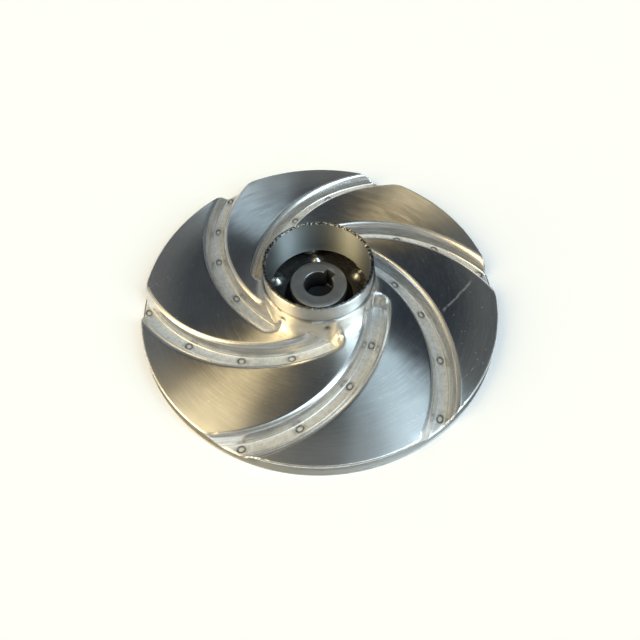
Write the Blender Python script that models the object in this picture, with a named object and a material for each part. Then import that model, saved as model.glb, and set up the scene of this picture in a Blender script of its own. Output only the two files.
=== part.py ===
"""Closed impeller of a jet pump: a pressed and spot-welded stainless-steel wheel with six curved vanes."""
import math

import bmesh
import bpy
from mathutils import Vector, geometry

# Discs and sheet, in metres; z = 0 is the rear of the back plate and the wheel's axis is Z
SHROUD_RADIUS = 0.0657
PLATE_RADIUS = 0.0664
PLATE_THICKNESS = 0.0010
SHEET = 0.0009
FIT = 0.0003

# Raised panels of the front shroud, whose height is measured to their top
PANEL_RIM_HEIGHT = 0.0064
PANEL_SLOPE = 0.023

# Vane channels, pressed down along circular arcs; the arc's angle is counted from its point nearest the axis
VANES = 6
ARC_RADIUS = 0.0550
ARC_CENTRE_RADIUS = 0.0337
FIRST_ARC_CENTRE = math.radians(66.4)
ARC_TIP = math.radians(11.0)
ARC_OVERRUN = math.radians(100.0)
FLOOR_HALF_WIDTH = 0.0019

# Channel section from the floor's edge outwards: distance from the floor's edge, share of the full depth
WALL_SECTION = ((0.0, 1.0), (0.0014, 0.29), (0.0020, 0.08), (0.0029, 0.0))

# Neck: the collar drawn from the shroud and the ring welded into it
NECK_OUTER_RADIUS = 0.0193
NECK_INNER_RADIUS = 0.0178
NECK_BOTTOM = 0.0083
NECK_TOP = 0.0216
NECK_CHAMFER = 0.0003
COLLAR_TOP = 0.0150
COLLAR_FILLET = 0.0034

# Keyed hub
HUB_RADIUS = 0.0105
HUB_FACE = 0.0094
HUB_CHAMFER = 0.0006
BORE_RADIUS = 0.0055
BORE_CHAMFER = 0.0004
FLANGE_RADIUS = 0.0130
FLANGE_THICKNESS = 0.0016
SPIGOT_RADIUS = 0.0080
KEYWAY_WIDTH = 0.0040
KEYWAY_REACH = 0.0073
KEYWAY_ANGLE = math.radians(48.0)

# Fineness of the facets
RIM_SIDES = 72
NECK_SIDES = 60
HUB_SIDES = 48
PANEL_RING_RADII = (0.046, 0.033)
ARC_STEPS = 14
TIP_STEPS = 6
FILLET_STEPS = 3

COLLAR_OUTER_RADIUS = NECK_OUTER_RADIUS + FIT + SHEET
CHANNEL_TOP = PLATE_THICKNESS + FIT + SHEET


def clear_scene():
    """Remove the objects of the open file."""
    for old in list(bpy.data.objects):
        bpy.data.objects.remove(old, do_unlink=True)


def metal(name, colour, roughness):
    """A plain metal with one colour and one roughness."""
    material = bpy.data.materials.new(name)
    material.use_nodes = True
    shader = material.node_tree.nodes["Principled BSDF"]
    shader.inputs["Base Color"].default_value = (*colour, 1.0)
    shader.inputs["Metallic"].default_value = 1.0
    shader.inputs["Roughness"].default_value = roughness
    return material


def add_object(name, bm, material, smooth_angle=30.0):
    """Turn a bmesh into a named object, smooth except at its edges."""
    mesh = bpy.data.meshes.new(name)
    bm.to_mesh(mesh)
    bm.free()
    mesh.materials.append(material)
    mesh.shade_smooth()
    mesh.set_sharp_from_angle(angle=math.radians(smooth_angle))
    obj = bpy.data.objects.new(name, mesh)
    bpy.context.scene.collection.objects.link(obj)
    return obj


def turned(profile, sides):
    """A bmesh of the closed profile of (radius, height) points, spun once about Z."""
    bm = bmesh.new()
    points = [bm.verts.new((radius, 0.0, height)) for radius, height in profile]
    edges = [bm.edges.new((point, points[i - 1])) for i, point in enumerate(points)]
    bmesh.ops.spin(bm, geom=points + edges, cent=(0, 0, 0), axis=(0, 0, 1),
                   angle=2 * math.pi, steps=sides, use_merge=True)
    bmesh.ops.remove_doubles(bm, verts=bm.verts, dist=0.000001)
    bmesh.ops.recalc_face_normals(bm, faces=bm.faces)
    return bm


def polar(radius, angle):
    """The plan point at a radius and an angle."""
    return Vector((radius * math.cos(angle), radius * math.sin(angle)))


def arc_centre(vane):
    """Centre of a vane's arc and the direction from there to its point nearest the axis."""
    angle = FIRST_ARC_CENTRE + vane * 2 * math.pi / VANES
    return polar(ARC_CENTRE_RADIUS, angle), angle + math.pi


def channel_distance(point):
    """Distance in plan from the middle line of the nearest channel, whose inner end is round."""
    distances = []
    for vane in range(VANES):
        centre, nearest = arc_centre(vane)
        spoke = point - centre
        turn = nearest - math.atan2(spoke.y, spoke.x)
        turn = (turn + math.pi) % (2 * math.pi) - math.pi
        if turn >= ARC_TIP:
            distances.append(abs(spoke.length - ARC_RADIUS))
        else:
            tip = centre + polar(ARC_RADIUS, nearest - ARC_TIP)
            distances.append((point - tip).length)
    return min(distances)


def pressed_share(distance):
    """Share of the channel's depth at a distance from its middle line."""
    offset = max(distance - FLOOR_HALF_WIDTH, 0.0)
    for (near, deep), (far, shallow) in zip(WALL_SECTION, WALL_SECTION[1:]):
        if offset <= far:
            return deep + (shallow - deep) * (offset - near) / (far - near)
    return 0.0


def panel_height(radius):
    """Top of the unpressed sheet: a shallow cone, then the fillet up to the collar."""
    height = PANEL_RIM_HEIGHT + (SHROUD_RADIUS - radius) * PANEL_SLOPE
    inside = COLLAR_OUTER_RADIUS + COLLAR_FILLET - radius
    if inside <= 0:
        return height
    return height + COLLAR_FILLET - math.sqrt(max(COLLAR_FILLET ** 2 - inside ** 2, 0.0))


def shroud_height(point):
    """Top of the pressed sheet at a plan point."""
    panel = panel_height(point.length)
    return panel - (panel - CHANNEL_TOP) * pressed_share(channel_distance(point))


def channel_outline(vane, offset):
    """Plan line at an offset from a channel's middle: up one side, round the tip and back."""
    centre, nearest = arc_centre(vane)
    run = [ARC_OVERRUN + (ARC_TIP - ARC_OVERRUN) * step / ARC_STEPS for step in range(ARC_STEPS + 1)]
    outer = [centre + polar(ARC_RADIUS + offset, nearest - turn) for turn in run]
    inner = [centre + polar(ARC_RADIUS - offset, nearest - turn) for turn in reversed(run)]
    tip = centre + polar(ARC_RADIUS, nearest - ARC_TIP)
    cap = [tip + polar(offset, nearest - ARC_TIP + math.pi * step / TIP_STEPS) for step in range(1, TIP_STEPS)]
    return outer + cap + inner


def inside_ring(point, radius, sides):
    """Whether a plan point lies inside the regular polygon of that corner radius."""
    pitch = 2 * math.pi / sides
    turn = math.atan2(point.y, point.x) % pitch - pitch / 2
    return point.length * math.cos(turn) < radius * math.cos(pitch / 2)


def shroud_plan():
    """Plan points and triangles of the shroud, with edges along its rings and its channels' bends."""
    points = []
    edges = []

    def add_line(line, closed):
        start = len(points)
        points.extend(line)
        edges.extend((start + i, start + i + 1) for i in range(len(line) - 1))
        if closed:
            edges.append((start + len(line) - 1, start))

    def add_ring(radius, sides):
        add_line([polar(radius, 2 * math.pi * i / sides) for i in range(sides)], True)

    add_ring(SHROUD_RADIUS, RIM_SIDES)
    for radius in PANEL_RING_RADII:
        add_ring(radius, NECK_SIDES)
    for step in range(FILLET_STEPS + 1):
        share = 1 - math.cos(math.pi / 2 * step / FILLET_STEPS)
        add_ring(COLLAR_OUTER_RADIUS + COLLAR_FILLET * share, NECK_SIDES)
    for vane in range(VANES):
        for offset, _ in WALL_SECTION:
            add_line(channel_outline(vane, FLOOR_HALF_WIDTH + offset), False)
    verts, _, faces, _, _, _ = geometry.delaunay_2d_cdt(points, edges, [], 0, 0.00001)
    return verts, faces


def front_shroud(material):
    """The pressed front sheet: panels, channels, fillet and drawn collar, all in one thickness."""
    plan, faces = shroud_plan()
    bm = bmesh.new()
    top = [bm.verts.new((point.x, point.y, shroud_height(point))) for point in plan]
    for face in faces:
        middle = sum((plan[i] for i in face), Vector((0, 0))) / len(face)
        if not inside_ring(middle, SHROUD_RADIUS, RIM_SIDES):
            continue
        if inside_ring(middle, COLLAR_OUTER_RADIUS, NECK_SIDES):
            continue
        bm.faces.new([top[i] for i in face])
    bmesh.ops.delete(bm, geom=[v for v in bm.verts if not v.link_faces], context="VERTS")
    bmesh.ops.recalc_face_normals(bm, faces=bm.faces)
    neck_edge = [e for e in bm.edges if e.is_boundary and e.verts[0].co.xy.length < COLLAR_OUTER_RADIUS * 1.01]
    collar = bmesh.ops.extrude_edge_only(bm, edges=neck_edge)
    for vert in [v for v in collar["geom"] if isinstance(v, bmesh.types.BMVert)]:
        vert.co.z = COLLAR_TOP
    bmesh.ops.recalc_face_normals(bm, faces=bm.faces)
    if sum(face.normal.z * face.calc_area() for face in bm.faces) < 0:
        bmesh.ops.reverse_faces(bm, faces=bm.faces)
    shroud = add_object("front_shroud", bm, material)
    sheet = shroud.modifiers.new("sheet", "SOLIDIFY")
    sheet.thickness = SHEET
    sheet.offset = -1.0
    sheet.use_even_offset = True
    sheet.use_quality_normals = True
    return shroud


def back_plate(material):
    """The flat rear disc with the hole for the hub's spigot."""
    hole = SPIGOT_RADIUS + FIT
    profile = [(hole, 0.0), (PLATE_RADIUS, 0.0), (PLATE_RADIUS, PLATE_THICKNESS), (hole, PLATE_THICKNESS)]
    return add_object("back_plate", turned(profile, RIM_SIDES), material)


def neck_ring(material):
    """The suction ring inside the collar."""
    c = NECK_CHAMFER
    profile = [
        (NECK_INNER_RADIUS + c, NECK_BOTTOM), (NECK_OUTER_RADIUS, NECK_BOTTOM),
        (NECK_OUTER_RADIUS, NECK_TOP - c), (NECK_OUTER_RADIUS - c, NECK_TOP),
        (NECK_INNER_RADIUS + c, NECK_TOP), (NECK_INNER_RADIUS, NECK_TOP - c),
        (NECK_INNER_RADIUS, NECK_BOTTOM + c),
    ]
    return add_object("neck_ring", turned(profile, NECK_SIDES), material)


def hub(material):
    """The turned hub: spigot through the plate, flange on it, and a bored body with a keyway."""
    flange_base = PLATE_THICKNESS + FIT
    flange_top = flange_base + FLANGE_THICKNESS
    profile = [
        (BORE_RADIUS + BORE_CHAMFER, 0.0), (SPIGOT_RADIUS, 0.0), (SPIGOT_RADIUS, flange_base),
        (FLANGE_RADIUS, flange_base), (FLANGE_RADIUS, flange_top), (HUB_RADIUS, flange_top),
        (HUB_RADIUS, HUB_FACE - HUB_CHAMFER), (HUB_RADIUS - HUB_CHAMFER, HUB_FACE),
        (BORE_RADIUS + BORE_CHAMFER, HUB_FACE), (BORE_RADIUS, HUB_FACE - BORE_CHAMFER),
        (BORE_RADIUS, BORE_CHAMFER),
    ]
    body = add_object("hub", turned(profile, HUB_SIDES), material)
    cutter_bm = bmesh.new()
    bmesh.ops.create_cube(cutter_bm, size=1.0)
    bmesh.ops.scale(cutter_bm, vec=(KEYWAY_REACH, KEYWAY_WIDTH, 3 * HUB_FACE), verts=cutter_bm.verts)
    bmesh.ops.translate(cutter_bm, vec=(KEYWAY_REACH / 2, 0, HUB_FACE / 2), verts=cutter_bm.verts)
    cutter = add_object("keyway_cutter", cutter_bm, material)
    cutter.rotation_euler.z = KEYWAY_ANGLE
    cutter.hide_render = True
    cutter.display_type = "WIRE"
    cut = body.modifiers.new("keyway", "BOOLEAN")
    cut.operation = "DIFFERENCE"
    cut.solver = "EXACT"
    cut.object = cutter
    return body


def build():
    """The whole impeller."""
    clear_scene()
    front_shroud(metal("pressed_stainless", (0.56, 0.55, 0.52), 0.28))
    back_plate(metal("plate_stainless", (0.52, 0.52, 0.50), 0.32))
    neck_ring(metal("ring_stainless", (0.58, 0.56, 0.50), 0.25))
    hub(metal("turned_steel", (0.20, 0.20, 0.21), 0.50))


build()
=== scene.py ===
from math import acos, atan2, cos, exp, hypot, pi, radians, sin, sqrt, tan

import bpy
from mathutils import Matrix, Vector, geometry, noise


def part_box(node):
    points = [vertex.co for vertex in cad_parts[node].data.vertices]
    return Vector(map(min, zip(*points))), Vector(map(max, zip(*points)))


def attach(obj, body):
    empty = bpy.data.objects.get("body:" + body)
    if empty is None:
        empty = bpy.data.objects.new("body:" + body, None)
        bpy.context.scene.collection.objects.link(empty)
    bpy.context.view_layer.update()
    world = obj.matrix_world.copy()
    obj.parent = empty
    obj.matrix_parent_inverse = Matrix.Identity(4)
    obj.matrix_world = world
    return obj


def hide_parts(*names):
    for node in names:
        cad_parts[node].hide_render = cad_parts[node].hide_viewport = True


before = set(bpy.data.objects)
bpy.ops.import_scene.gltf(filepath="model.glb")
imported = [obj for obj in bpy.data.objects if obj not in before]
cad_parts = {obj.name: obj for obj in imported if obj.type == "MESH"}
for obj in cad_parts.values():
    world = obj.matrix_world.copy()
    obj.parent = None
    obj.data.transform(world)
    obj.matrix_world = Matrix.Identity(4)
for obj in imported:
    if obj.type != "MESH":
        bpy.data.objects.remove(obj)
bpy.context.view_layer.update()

# Points closer than this are one point; heights within a hair are level
MERGE = 0.000001
HAIR = 0.0001

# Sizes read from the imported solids
SHROUD_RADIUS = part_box("front_shroud")[1].x
COLLAR_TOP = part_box("front_shroud")[1].z
RING_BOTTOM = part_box("neck_ring")[0].z
RING_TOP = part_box("neck_ring")[1].z
RING_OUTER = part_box("neck_ring")[1].x
PLATE_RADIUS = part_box("back_plate")[1].x
PLATE_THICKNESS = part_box("back_plate")[1].z
HUB_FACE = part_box("hub")[1].z

# Sheet, and the raised panels of the front shroud; rows along the rolled-down rim are angles in degrees
SHEET = 0.0009
FIT = 0.0003
PANEL_RIM_HEIGHT = 0.0064
PANEL_SLOPE = 0.023
RIM_ALLOWANCE = 0.0002
SHEET_EDGE = SHROUD_RADIUS - RIM_ALLOWANCE
RIM_ROLL = 0.0007
RIM_ROLL_ANGLE = radians(75.0)
RIM_ROLL_ROWS = (0, 18, 34, 48, 61)
RIM_RUN = RIM_ROLL * sin(RIM_ROLL_ANGLE)

# Vane channels along circular arcs; an arc's angle is counted from its point nearest the axis
VANES = 6
ARC_RADIUS = 0.0550
ARC_CENTRE_RADIUS = 0.0337
FIRST_ARC_CENTRE = radians(66.4)
ARC_TIP = radians(11.0)
FINE_ARC_END = radians(26.0)
ARC_END = radians(96.0)
ARC_STEP = radians(1.25)
CAP_STEP = radians(6.0)

# Section of a channel: half of its flat floor, the foot, the wall's steepness and the top bend;
# rows round the foot and the bend are angles in degrees
FLOOR_HALF_WIDTH = 0.0013
FOOT_RADIUS = 0.0006
FOOT_ROWS = (0, 16, 32, 49)
BEND_RADIUS = 0.0024
BEND_ROWS = (66, 57, 49, 41, 33, 26, 19, 12, 6, 0)
WALL_ANGLE = radians(66.0)
PANEL_RISE = 0.0004
CHANNEL_TOP = PLATE_THICKNESS + FIT + SHEET
FULL_DEPTH = PANEL_RIM_HEIGHT + PANEL_RISE - CHANNEL_TOP
FOOT_RUN = FOOT_RADIUS * sin(WALL_ANGLE)
FOOT_RISE = FOOT_RADIUS * (1 - cos(WALL_ANGLE))
BEND_RUN = BEND_RADIUS * sin(WALL_ANGLE)
BEND_RISE = BEND_RADIUS * (1 - cos(WALL_ANGLE))
WALL_RUN = (FULL_DEPTH - FOOT_RISE - BEND_RISE) / tan(WALL_ANGLE)
SECTION_RUN = FOOT_RUN + WALL_RUN + BEND_RUN
CHANNEL_HALF_WIDTH = FLOOR_HALF_WIDTH + SECTION_RUN

# Neck: the collar drawn up from the sheet, and how the finish and a painted sheen change with the distance
# from the axis
COLLAR_RADIUS = RING_OUTER + FIT + SHEET
COLLAR_FILLET = 0.0034
COLLAR_EDGE_LEAN = 0.0007
COLLAR_BAND = 0.0004
FILLET_FADE = 2.5
DRAWN_NECK = (0.033, 0.0255)
# painted sheen: the panels grow lighter over this band towards the rim
OUTER_SHEEN_BAND = (0.047, 0.062)

# Ring in the collar; its lip's points are (inwards, upwards) from its inner bottom edge
RING_WALL = 0.0011
RING_SWELL = 0.0002
RING_REACH = 0.0014
RING_LIP = ((0.00022, 0.00008), (0.00010, 0.0))
LIP_HEIGHT = 0.0003
ROUGH_BAND = 0.0022

# The ring's sawn upper edge: how far it waves, is grained, nicked, rounded, lowered, pushed and burred
BURR_BAND = 0.0018
EDGE_WAVE = 0.00016
EDGE_GRAIN = 0.00008
EDGE_NICK = 0.0009
EDGE_ROUNDING = 0.00020
EDGE_DROP = 0.0001
EDGE_PUSH = 0.00016
EDGE_BURR = 0.00022

# Spot welds: distances from the axis along each channel, size of one dimple, and those on the collar
WELD_RADII = (
    (0.0314, 0.0432, 0.0531, 0.0634),
    (0.0288, 0.0389, 0.0513, 0.0640),
    (0.0290, 0.0391, 0.0526, 0.0636),
    (0.0295, 0.0389, 0.0507, 0.0629),
    (0.0294, 0.0420, 0.0514, 0.0631),
    (0.0294, 0.0395, 0.0511, 0.0645),
)
WELD_LONG = 0.00140
WELD_WIDE = 0.00105
WELD_DEPTH = 0.00024
WELD_WALL = (1.08, 0.72)
WELD_CROWN = 0.35
CROWN_EDGE = 0.62
NO_WELD = 9.0
COLLAR_WELDS = 8
FIRST_COLLAR_WELD = radians(-83.0)
COLLAR_WELD_HEIGHT = 0.0115
COLLAR_WELD_RADIUS = 0.0011
COLLAR_WELD_DEPTH = 0.00035
SEAM_TINT = 0.45

# Back plate, and the smooth raised marks on it below the eye, one beside each vane's inner end
PLATE_EDGE = 0.00022
MARK_FROM_AXIS = 0.0188
MARK_RADIUS = 0.0042
MARK_RISE = 0.0015
MARKS_END = 0.0210
FIRST_MARK = radians(32.0)

# The long scratch on the right-hand panel
SCRATCH_MIDDLE = (0.0502, -0.0060, 0.0)
SCRATCH_ANGLE = radians(46.0)
SCRATCH_REACH = 0.0112

# Hub; the keyway's cutter starts below the hub and ends above it
HUB_RADIUS = 0.0105
HUB_CHAMFER = 0.0005
HUB_FOOT = 0.0004
BORE_RADIUS = 0.0055
BORE_CHAMFER = 0.0003
REAR_BORE_CHAMFER = 0.0004
FLANGE_RADIUS = 0.0130
FLANGE_THICKNESS = 0.0016
FLANGE_CHAMFER = 0.0003
SPIGOT_RADIUS = 0.0080
REAR_CHAMFER = 0.0002
FACE_EDGES = (0.0020, 0.0014)
# painted shade on the hub deepens over this depth below its face
SHADE_BELOW_FACE = (0.0006, 0.0012)
KEYWAY_WIDTH = 0.0040
KEYWAY_REACH = 0.0073
KEYWAY_ANGLE = radians(48.0)
CUTTER_HEIGHT = 0.014
CUTTER_BOTTOM = -0.002
BROKEN_EDGE = 0.00016

# Rows beside a channel's section, and how far other points of the shroud's mesh keep off its features
ROW_ON_FLOOR = 0.0002
ROW_ON_PANEL = 0.0004
NECK_CLEARANCE = 0.0005
LINES_START = 0.0002
LINES_OVERRUN = 0.004
RIM_CLEARANCE = 0.0008
PANEL_CLEARANCE = 0.0011
FLOOR_STRIP = 0.0006
WELD_CLEARANCE = 1.8

# Fineness of the meshes; a weld's rings are shares of its size
COLLAR_ROWS = 14
FILLET_RINGS = 16
OUTER_RING_STEP = 0.0003
FINE_RADIUS = COLLAR_RADIUS + COLLAR_FILLET + 0.0009
EVEN_RADIUS = COLLAR_RADIUS + 0.0005
INNER_FACE_END = FINE_RADIUS + 0.006
NECK_STEPS = 420
RIM_STEPS = 360
RING_STEPS = 560
HUB_STEPS = 144
WELD_RINGS = (0.25, 0.5, 0.7, 0.82, 0.94, 1.06, 1.2)
WELD_STEPS = 20
PANEL_SPACING = 0.0026
PANEL_ROW_PITCH = 0.9

# Camera, from the round edges in the photograph: a frame 640 pixels wide, seen by a lens of 450 pixels
FRAME_PIXELS = 640
LENS_PIXELS = 450
SENSOR = 36.0
CAMERA_PLACE = Vector((0.0, -0.09775, 0.14355))
CAMERA_TILT = radians(58.562)
CAMERA_PAN = radians(0.086)
CAMERA_ROLL = radians(1.470)

# Studio; a soft box is (azimuth, elevation, half width, half height, blur, brightness, colour), in degrees
FLOOR_SIZE = 6.0
FLOOR_COLOUR = (0.85, 0.87, 0.90)
FLOOR_GLOW = 0.22
# painted shade: the floor under the bore, seen through it, is near black
BORE_SHADE_COLOUR = (0.03, 0.036, 0.042)
ROOM_COLOUR = (0.155, 0.165, 0.165)
HORIZON_COLOUR = (0.62, 0.64, 0.65)
BACKDROP_COLOUR = (0.92, 0.92, 0.92, 1)
DARK_CORNER = (52, 44, 46, 36, 0.7)
DARK_CORNER_COLOUR = (0.012, 0.026, 0.045)
SOFT_BOXES = (
    (-158, 34, 13, 28, 0.25, 5.0, (1.0, 0.82, 0.48)),
    (-164, 32, 21, 40, 0.30, 1.0, (1.0, 0.68, 0.20)),
    (-25, 44, 8, 33, 0.35, 5.8, (0.66, 0.88, 1.0)),
    (-27, 40, 14, 40, 0.35, 0.9, (0.84, 0.95, 1.0)),
)
BOX_SQUARENESS = 3.0

# Steel, from its darkest finish to its brightest, with its painted shade, highlights, glints and sheen, and
# what lies on it
BURNT_SHEET = (0.05, 0.045, 0.035)
BURNT_WELD = (0.03, 0.025, 0.02)
# painted shade on the hub's flange and lower side
FLANGE_SHADE = (0.02, 0.021, 0.023)
DARK_BURR = (0.08, 0.08, 0.08)
# painted glints on the ring's burred edge
BURR_GLINT = (0.85, 0.84, 0.80)
# painted shade on the back plate below the eye
SHADED_PLATE = (0.12, 0.118, 0.115)
RAISED_MARK = (0.96, 0.95, 0.90)
OUTLET_PLATE = (0.42, 0.42, 0.41)
PLATE_STEEL = ((0.40, 0.40, 0.39), (0.50, 0.49, 0.47))
HUB_STEEL = ((0.39, 0.40, 0.41), (0.50, 0.51, 0.52))
PANEL_STEEL = ((0.44, 0.44, 0.44), (0.52, 0.52, 0.51))
RING_STEEL = ((0.62, 0.625, 0.62), (0.70, 0.70, 0.69))
DULL_RING_WALL = (0.31, 0.33, 0.33)
BRUSH_LINE = (0.78, 0.78, 0.78)
SCRATCH = (0.85, 0.85, 0.85)
# smoother drawn steel round the neck, made lighter as a painted sheen
DRAWN_STEEL_SHEEN = (0.88, 0.86, 0.81)
# painted sheen on the outer panels
OUTER_PANEL_SHEEN = (0.76, 0.77, 0.78)
PALE_DUST = (0.72, 0.74, 0.76)
CHANNEL_WALL = (0.82, 0.82, 0.815)
CHANNEL_FLOOR = (0.98, 0.975, 0.965)
# painted highlight along the channels' feet
CHANNEL_FOOT_HIGHLIGHT = (0.98, 0.98, 0.96)
FLOOR_MOTTLE = (0.58, 0.56, 0.54)
DRAWING_STREAK = (0.42, 0.41, 0.40)
CHANNEL_STAIN = (0.45, 0.44, 0.42)
CHANNEL_SPECK = (0.25, 0.24, 0.22)
PLATE_SPECK = (0.2, 0.19, 0.17)
HUB_SPECK = (0.6, 0.6, 0.6)


def polar(radius, angle):
    """The plan point at a radius and an angle."""
    return Vector((radius * cos(angle), radius * sin(angle)))


def smooth_step(low, high, value):
    """0 at low, 1 at high and smooth between them."""
    share = min(max((value - low) / (high - low), 0.0), 1.0)
    return share * share * (3 - 2 * share)


def spread(low, high, count):
    """Evenly spaced values from low to high, without high."""
    return [low + (high - low) * i / count for i in range(count)]


def turn_from_nearest(point, first, count):
    """Angle from a plan point back to the nearest of so many even places round the axis."""
    pitch = 2 * pi / count
    return (atan2(point.y, point.x) - first + pitch / 2) % pitch - pitch / 2


# Shape of the shroud

def arc_centre(vane):
    """Centre of a vane's arc and the direction from there to its point nearest the axis."""
    angle = FIRST_ARC_CENTRE + vane * 2 * pi / VANES
    return polar(ARC_CENTRE_RADIUS, angle), angle + pi


ARCS = [arc_centre(vane) for vane in range(VANES)]
TIPS = [centre + polar(ARC_RADIUS, nearest - ARC_TIP) for centre, nearest in ARCS]


def channel_distance(point):
    """Distance in plan from the middle line of the nearest channel, whose inner end is round."""
    best = SHROUD_RADIUS
    for (centre, nearest), tip in zip(ARCS, TIPS):
        spoke = point - centre
        turn = nearest - atan2(spoke.y, spoke.x)
        turn = (turn + pi) % (2 * pi) - pi
        away = abs(spoke.length - ARC_RADIUS) if turn >= ARC_TIP else (point - tip).length
        best = min(best, away)
    return best


def pressed_share(distance):
    """Share of the channel's depth at a distance from its middle line, across floor, foot, wall and bend."""
    run = distance - FLOOR_HALF_WIDTH
    if run <= 0:
        return 1.0
    if run < FOOT_RUN:
        rise = FOOT_RADIUS - sqrt(FOOT_RADIUS ** 2 - run ** 2)
    elif run < FOOT_RUN + WALL_RUN:
        rise = FOOT_RISE + (run - FOOT_RUN) * tan(WALL_ANGLE)
    elif run < SECTION_RUN:
        left = SECTION_RUN - run
        rise = FULL_DEPTH - BEND_RADIUS + sqrt(BEND_RADIUS ** 2 - left ** 2)
    else:
        return 0.0
    return 1.0 - rise / FULL_DEPTH


def panel_height(radius):
    """Top of the unpressed sheet: a shallow cone."""
    return PANEL_RIM_HEIGHT + (SHROUD_RADIUS - radius) * PANEL_SLOPE


def fillet_rise(radius):
    """Rise of the sheet above the cone, up to the collar."""
    inside = max(COLLAR_RADIUS + COLLAR_FILLET - radius, 0.0)
    return COLLAR_FILLET - sqrt(max(COLLAR_FILLET ** 2 - inside ** 2, 0.0))


def weld_places():
    """Middle and lengthways direction of each spot weld on the channels' floors."""
    places = []
    for (centre, nearest), radii in zip(ARCS, WELD_RADII):
        for radius in radii:
            reach = ARC_RADIUS ** 2 + ARC_CENTRE_RADIUS ** 2 - radius ** 2
            turn = acos(reach / (2 * ARC_RADIUS * ARC_CENTRE_RADIUS))
            middle = centre + polar(ARC_RADIUS, nearest - turn)
            places.append((middle, polar(1.0, nearest - turn + pi / 2)))
    return places


WELDS = weld_places()


def weld_reach(point):
    """How far a plan point lies from the nearest weld's middle, where 1 is the dimple's edge."""
    best = NO_WELD
    for middle, along in WELDS:
        step = point - middle
        if step.length < 2 * WELD_LONG:
            across = step.x * along.y - step.y * along.x
            best = min(best, hypot(step.dot(along) / WELD_LONG, across / WELD_WIDE))
    return best


def shroud_height(point):
    """Top of the pressed sheet at a plan point: panel, channel, fillet, weld dimple and rolled rim."""
    panel = panel_height(point.length)
    pressed = pressed_share(channel_distance(point))
    height = panel - (panel - CHANNEL_TOP) * pressed
    height += fillet_rise(point.length) * (1 - pressed) ** FILLET_FADE
    reach = weld_reach(point)
    height -= WELD_DEPTH * smooth_step(*WELD_WALL, reach)
    height += WELD_CROWN * WELD_DEPTH * smooth_step(CROWN_EDGE, 0.0, reach)
    over = max(point.length - (SHEET_EDGE - RIM_RUN), 0.0)
    return height - RIM_ROLL + sqrt(max(RIM_ROLL ** 2 - over ** 2, 0.0))


def section_offsets():
    """Distances from a channel's middle where its section bends, close together on the bends."""
    foot = [FOOT_RADIUS * sin(radians(angle)) for angle in FOOT_ROWS]
    wall = [FOOT_RUN, FOOT_RUN + WALL_RUN / 2]
    bend = [SECTION_RUN - BEND_RADIUS * sin(radians(angle)) for angle in BEND_ROWS]
    runs = [-ROW_ON_FLOOR] + foot + wall + bend + [SECTION_RUN + ROW_ON_PANEL]
    return [FLOOR_HALF_WIDTH + run for run in runs]


def ring_points(radius, steps):
    """Even plan points round the axis."""
    return [polar(radius, 2 * pi * i / steps) for i in range(steps)]


def neck_points():
    """Plan points on rings round the neck, left out on the channels."""
    turns = [pi / 2 * i / FILLET_RINGS for i in range(1, FILLET_RINGS + 1)]
    radii = [COLLAR_RADIUS + COLLAR_FILLET * (1 - cos(turn)) for turn in turns]
    radii += [COLLAR_RADIUS + COLLAR_FILLET + OUTER_RING_STEP * step for step in (1, 2, 3)]
    beside = CHANNEL_HALF_WIDTH + NECK_CLEARANCE
    points = []
    for radius in radii:
        ring = ring_points(radius, NECK_STEPS)
        points += [point for point in ring if radius < EVEN_RADIUS or channel_distance(point) > beside]
    return points


def channel_lines():
    """Plan lines round the channels, from just outside the collar to just past the rim."""
    fine_steps = round((FINE_ARC_END - ARC_TIP) / ARC_STEP * 2)
    turns = [ARC_TIP + ARC_STEP * i / 2 for i in range(fine_steps)]
    turns += [FINE_ARC_END + ARC_STEP * i for i in range(round((ARC_END - FINE_ARC_END) / ARC_STEP) + 1)]
    cap_turns = [CAP_STEP * i for i in range(1, round(pi / CAP_STEP))]
    lines = []
    for (centre, nearest), tip in zip(ARCS, TIPS):
        for offset in section_offsets():
            outline = [centre + polar(ARC_RADIUS + offset, nearest - turn) for turn in reversed(turns)]
            outline += [tip + polar(offset, nearest - ARC_TIP + turn) for turn in cap_turns]
            outline += [centre + polar(ARC_RADIUS - offset, nearest - turn) for turn in turns]
            kept = []
            for point in outline:
                if EVEN_RADIUS + LINES_START < point.length < SHROUD_RADIUS + LINES_OVERRUN:
                    kept.append(point)
                elif kept:
                    lines.append(kept)
                    kept = []
            lines.append(kept)
    return lines


def weld_points():
    """Plan points on oval rings round each spot weld."""
    points = []
    for middle, along in WELDS:
        across = Vector((-along.y, along.x))
        for reach in WELD_RINGS:
            for step in range(WELD_STEPS):
                turn = 2 * pi * (step + 0.5 * (reach == 0.5)) / WELD_STEPS
                oval = WELD_LONG * cos(turn) * along + WELD_WIDE * sin(turn) * across
                points.append(middle + reach * oval)
    return points


def panel_points():
    """Loose plan points on the panels and along the channels' floors."""
    points = []
    radius = FINE_RADIUS + PANEL_SPACING / 2
    row = 0
    while radius < SHEET_EDGE - RIM_RUN - RIM_CLEARANCE:
        steps = round(2 * pi * radius / PANEL_SPACING)
        for i in range(steps):
            point = polar(radius, 2 * pi * (i + 0.5 * (row % 2)) / steps)
            away = channel_distance(point)
            on_floor = away < FLOOR_STRIP and weld_reach(point) > WELD_CLEARANCE
            if away > CHANNEL_HALF_WIDTH + PANEL_CLEARANCE or on_floor:
                points.append(point)
        radius += PANEL_SPACING * PANEL_ROW_PITCH
        row += 1
    return points


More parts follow.
